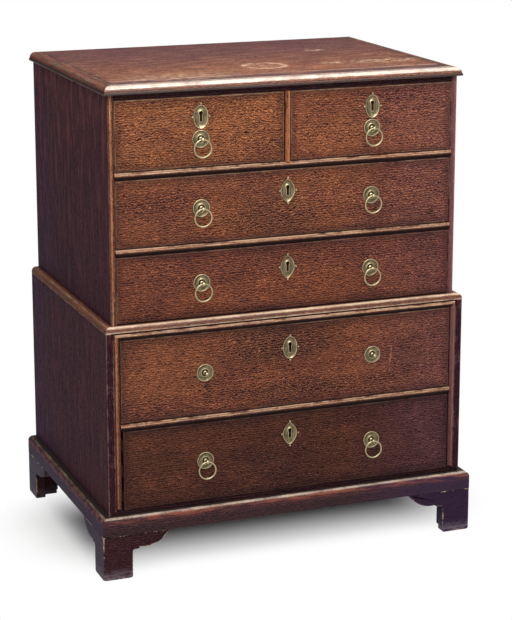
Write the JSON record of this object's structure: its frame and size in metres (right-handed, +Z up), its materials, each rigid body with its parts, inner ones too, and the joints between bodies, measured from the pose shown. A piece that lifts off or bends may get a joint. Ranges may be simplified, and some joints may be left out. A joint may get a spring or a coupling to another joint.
{
  "type": "chest on chest",
  "caption": "Small oak chest on chest: an upper chest of short and long drawers on a wider lower chest with bracket feet, with brass ring pulls, oval keyhole plates and locks.",
  "frame": {"origin": "on the floor in the middle of the plan of the base moulding", "axes": "+Z up, front with the drawers towards -Y, +X to the right of someone facing the front"},
  "size_m": [0.795, 0.5624, 0.9705],
  "materials": {
    "oak_top": "old waxed oak, worn and marked",
    "oak_front": "old waxed oak with open dark pores",
    "oak_side": "dark old waxed oak",
    "oak_frame": "dark old waxed oak",
    "oak_bead": "old waxed oak, rubbed on the crowns",
    "oak_moulding": "old waxed oak, rubbed on the edges",
    "oak_base": "dark old waxed oak, rubbed on the edges",
    "oak_lining": "dry unpolished oak",
    "pine": "dry aged softwood",
    "brass": "old lacquer-free brass, dull and rubbed bright on high points",
    "iron": "dark wrought iron with a little rust"
  },
  "bodies": {
    "case": {"bracket_feet": "oak_base", "base_moulding": "oak_base", "lower_sides": "oak_side", "lower_bottom": "oak_frame", "lower_front_frame": "oak_frame", "lower_runners": "pine", "lower_back": "pine", "waist_moulding": "oak_moulding", "upper_sides": "oak_side", "upper_bottom": "oak_frame", "upper_front_frame": "oak_frame", "upper_runners": "pine", "upper_back": "pine", "front_beads": "oak_bead", "top_board": "oak_top", "top_moulding": "oak_moulding"},
    "drawer_short_left": {"drawer_short_left_front": "oak_front", "drawer_short_left_box": "oak_lining", "drawer_short_left_bottom": "pine", "drawer_short_left_lock": "iron", "drawer_short_left_brasses": "brass"},
    "bolt_short_left": {"bolt_short_left": "iron"},
    "ring_short_left": {"ring_short_left": "brass"},
    "drawer_short_right": {"drawer_short_right_front": "oak_front", "drawer_short_right_box": "oak_lining", "drawer_short_right_bottom": "pine", "drawer_short_right_lock": "iron", "drawer_short_right_brasses": "brass"},
    "bolt_short_right": {"bolt_short_right": "iron"},
    "ring_short_right": {"ring_short_right": "brass"},
    "drawer_second": {"drawer_second_front": "oak_front", "drawer_second_box": "oak_lining", "drawer_second_bottom": "pine", "drawer_second_lock": "iron", "drawer_second_brasses": "brass"},
    "bolt_second": {"bolt_second": "iron"},
    "ring_second_left": {"ring_second_left": "brass"},
    "ring_second_right": {"ring_second_right": "brass"},
    "drawer_third": {"drawer_third_front": "oak_front", "drawer_third_box": "oak_lining", "drawer_third_bottom": "pine", "drawer_third_lock": "iron", "drawer_third_brasses": "brass"},
    "bolt_third": {"bolt_third": "iron"},
    "ring_third_left": {"ring_third_left": "brass"},
    "ring_third_right": {"ring_third_right": "brass"},
    "drawer_fourth": {"drawer_fourth_front": "oak_front", "drawer_fourth_box": "oak_lining", "drawer_fourth_bottom": "pine", "drawer_fourth_lock": "iron", "drawer_fourth_brasses": "brass"},
    "bolt_fourth": {"bolt_fourth": "iron"},
    "drawer_fifth": {"drawer_fifth_front": "oak_front", "drawer_fifth_box": "oak_lining", "drawer_fifth_bottom": "pine", "drawer_fifth_lock": "iron", "drawer_fifth_brasses": "brass"},
    "bolt_fifth": {"bolt_fifth": "iron"},
    "ring_fifth_left": {"ring_fifth_left": "brass"},
    "ring_fifth_right": {"ring_fifth_right": "brass"}
  },
  "joints": [
    {"name": "drawer_short_left_slide", "type": "slide", "parent": "case", "child": "drawer_short_left", "axis": [0, -1, 0], "range_m": [0, 0.38]},
    {"name": "bolt_short_left_throw", "type": "slide", "parent": "drawer_short_left", "child": "bolt_short_left", "axis": [0, 0, 1], "range_m": [0, 0.007]},
    {"name": "ring_short_left_swing", "type": "hinge", "parent": "drawer_short_left", "child": "ring_short_left", "pos_m": [-0.1795, -0.26075, 0.8593], "axis": [-1, 0, 0], "range_deg": [-15, 185]},
    {"name": "drawer_short_right_slide", "type": "slide", "parent": "case", "child": "drawer_short_right", "axis": [0, -1, 0], "range_m": [0, 0.38]},
    {"name": "bolt_short_right_throw", "type": "slide", "parent": "drawer_short_right", "child": "bolt_short_right", "axis": [0, 0, 1], "range_m": [0, 0.007]},
    {"name": "ring_short_right_swing", "type": "hinge", "parent": "drawer_short_right", "child": "ring_short_right", "pos_m": [0.1795, -0.26075, 0.8593], "axis": [-1, 0, 0], "range_deg": [-15, 185]},
    {"name": "drawer_second_slide", "type": "slide", "parent": "case", "child": "drawer_second", "axis": [0, -1, 0], "range_m": [0, 0.38]},
    {"name": "bolt_second_throw", "type": "slide", "parent": "drawer_second", "child": "bolt_second", "axis": [0, 0, 1], "range_m": [0, 0.007]},
    {"name": "ring_second_left_swing", "type": "hinge", "parent": "drawer_second", "child": "ring_second_left", "pos_m": [-0.1795, -0.26075, 0.7239], "axis": [-1, 0, 0], "range_deg": [-15, 185]},
    {"name": "ring_second_right_swing", "type": "hinge", "parent": "drawer_second", "child": "ring_second_right", "pos_m": [0.1795, -0.26075, 0.7239], "axis": [-1, 0, 0], "range_deg": [-15, 185]},
    {"name": "drawer_third_slide", "type": "slide", "parent": "case", "child": "drawer_third", "axis": [0, -1, 0], "range_m": [0, 0.38]},
    {"name": "bolt_third_throw", "type": "slide", "parent": "drawer_third", "child": "bolt_third", "axis": [0, 0, 1], "range_m": [0, 0.007]},
    {"name": "ring_third_left_swing", "type": "hinge", "parent": "drawer_third", "child": "ring_third_left", "pos_m": [-0.1795, -0.26075, 0.5755], "axis": [-1, 0, 0], "range_deg": [-15, 185]},
    {"name": "ring_third_right_swing", "type": "hinge", "parent": "drawer_third", "child": "ring_third_right", "pos_m": [0.1795, -0.26075, 0.5755], "axis": [-1, 0, 0], "range_deg": [-15, 185]},
    {"name": "drawer_fourth_slide", "type": "slide", "parent": "case", "child": "drawer_fourth", "axis": [0, -1, 0], "range_m": [0, 0.39]},
    {"name": "bolt_fourth_throw", "type": "slide", "parent": "drawer_fourth", "child": "bolt_fourth", "axis": [0, 0, 1], "range_m": [0, 0.007]},
    {"name": "drawer_fifth_slide", "type": "slide", "parent": "case", "child": "drawer_fifth", "axis": [0, -1, 0], "range_m": [0, 0.39]},
    {"name": "bolt_fifth_throw", "type": "slide", "parent": "drawer_fifth", "child": "bolt_fifth", "axis": [0, 0, 1], "range_m": [0, 0.007]},
    {"name": "ring_fifth_left_swing", "type": "hinge", "parent": "drawer_fifth", "child": "ring_fifth_left", "pos_m": [-0.1795, -0.27575, 0.2172], "axis": [-1, 0, 0], "range_deg": [-15, 185]},
    {"name": "ring_fifth_right_swing", "type": "hinge", "parent": "drawer_fifth", "child": "ring_fifth_right", "pos_m": [0.1795, -0.27575, 0.2172], "axis": [-1, 0, 0], "range_deg": [-15, 185]}
  ]
}
